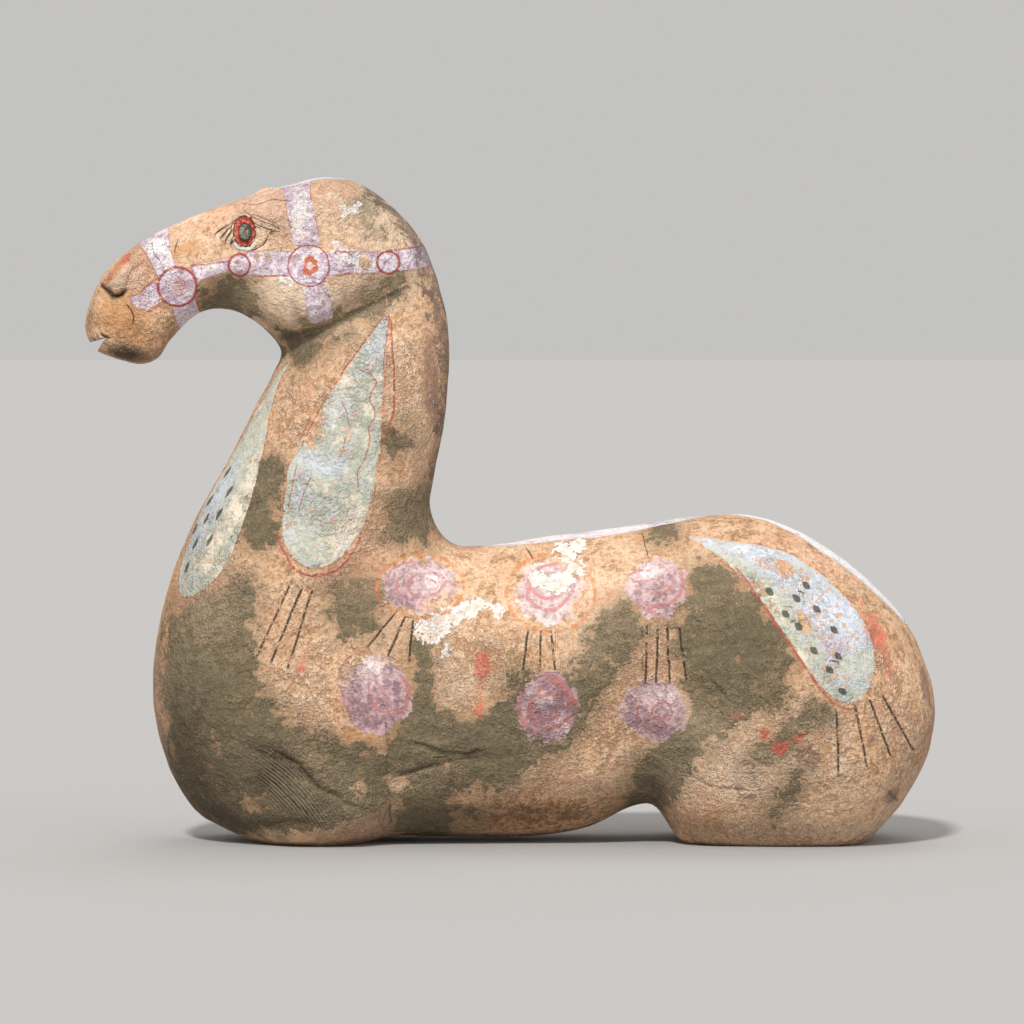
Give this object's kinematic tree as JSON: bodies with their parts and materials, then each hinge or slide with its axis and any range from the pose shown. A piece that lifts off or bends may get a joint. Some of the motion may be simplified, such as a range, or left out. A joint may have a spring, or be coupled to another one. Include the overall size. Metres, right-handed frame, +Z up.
{
  "type": "pottery horse figure",
  "caption": "Painted fired-clay figure of a horse lying with its legs folded under it, head raised and bent down, resting on flat seats under the fore and hind legs.",
  "frame": {"origin": "On the ground plane under the middle of the figure's length and width.", "axes": "+Z up, +X from the muzzle to the rump along the body, +Y to the horse's right side; the pictured side is the horse's left, -Y."},
  "size_m": [0.6401, 0.2206, 0.498],
  "materials": {
    "fired_clay": "Matt low-fired tan clay with remains of pale, lilac, green and red paint and patches of soil."
  },
  "bodies": {
    "root": {"horse_figure": "fired_clay"}
  },
  "joints": []
}
